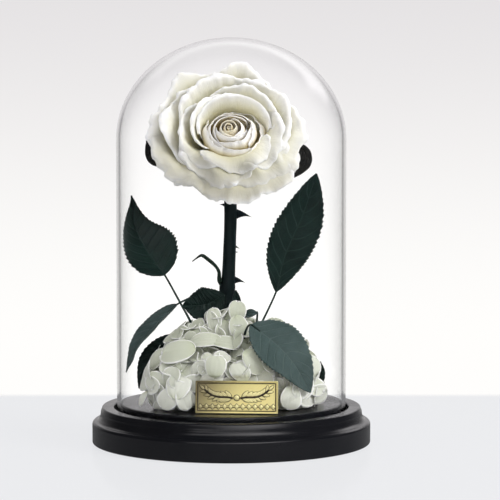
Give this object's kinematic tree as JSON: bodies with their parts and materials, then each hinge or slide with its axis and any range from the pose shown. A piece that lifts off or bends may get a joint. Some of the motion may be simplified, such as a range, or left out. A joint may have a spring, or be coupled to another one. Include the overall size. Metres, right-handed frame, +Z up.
{
  "type": "preserved rose in glass dome",
  "caption": "White preserved rose on a thorny stem with dark leaves and a mound of white hydrangea, under a clear glass dome on a turned black base with a small brass plate.",
  "frame": {"origin": "centre of the base's underside", "axes": "+Z up along the dome's axis, -Y to the front, where the brass plate and the open rose face, +X to the right as seen from the front"},
  "size_m": [0.146, 0.146, 0.212],
  "materials": {
    "black_wood": "black satin lacquer on turned wood",
    "clear_glass": "clear blown glass, polished",
    "antique_brass": "antique brass, dark in the recesses, rubbed bright on the relief",
    "dried_stem": "dark dyed preserved stem, dull",
    "preserved_leaf": "preserved dark green leaf, soft sheen",
    "preserved_sepal": "preserved near-black sepal, soft sheen",
    "rose_petal": "preserved white petal, matt with a faint velvet sheen",
    "hydrangea_petal": "preserved white petal, thin and slightly see-through"
  },
  "bodies": {
    "root": {"base": "black_wood", "glass_dome": "clear_glass", "name_plate": "antique_brass", "rose_stem": "dried_stem", "rose_heart": "rose_petal", "rose_petal_01": "rose_petal", "rose_petal_02": "rose_petal", "rose_petal_03": "rose_petal", "rose_petal_04": "rose_petal", "rose_petal_05": "rose_petal", "rose_petal_06": "rose_petal", "rose_petal_07": "rose_petal", "rose_petal_08": "rose_petal", "rose_petal_09": "rose_petal", "rose_petal_10": "rose_petal", "rose_petal_11": "rose_petal", "rose_petal_12": "rose_petal", "rose_petal_13": "rose_petal", "rose_petal_14": "rose_petal", "rose_petal_15": "rose_petal", "rose_petal_16": "rose_petal", "rose_petal_17": "rose_petal", "rose_petal_18": "rose_petal", "rose_petal_19": "rose_petal", "rose_petal_20": "rose_petal", "rose_petal_21": "rose_petal", "rose_petal_22": "rose_petal", "rose_petal_23": "rose_petal", "rose_petal_24": "rose_petal", "sepal_left": "preserved_sepal", "sepal_right": "preserved_sepal", "sepal_top": "preserved_sepal", "sepal_lower_left": "preserved_sepal", "sepal_lower_right": "preserved_sepal", "leaf_upper_left": "preserved_leaf", "leaf_upper_right": "preserved_leaf", "leaf_front_right": "preserved_leaf", "leaf_lower_left": "preserved_leaf", "leaf_inner_left": "preserved_leaf", "leaf_back_left": "preserved_leaf", "leaf_back_right": "preserved_leaf", "leaf_small_curled": "preserved_leaf", "leaf_pointed": "preserved_leaf", "hydrangea_front_left": "hydrangea_petal", "hydrangea_front_centre": "hydrangea_petal", "hydrangea_front_plate": "hydrangea_petal", "hydrangea_front_right": "hydrangea_petal", "hydrangea_side_left": "hydrangea_petal", "hydrangea_upper_left": "hydrangea_petal", "hydrangea_upper_centre": "hydrangea_petal", "hydrangea_top": "hydrangea_petal", "hydrangea_upper_right": "hydrangea_petal", "hydrangea_side_right": "hydrangea_petal", "hydrangea_back_left": "hydrangea_petal", "hydrangea_back_centre": "hydrangea_petal", "hydrangea_back_right": "hydrangea_petal", "hydrangea_back_upper": "hydrangea_petal"}
  },
  "joints": []
}
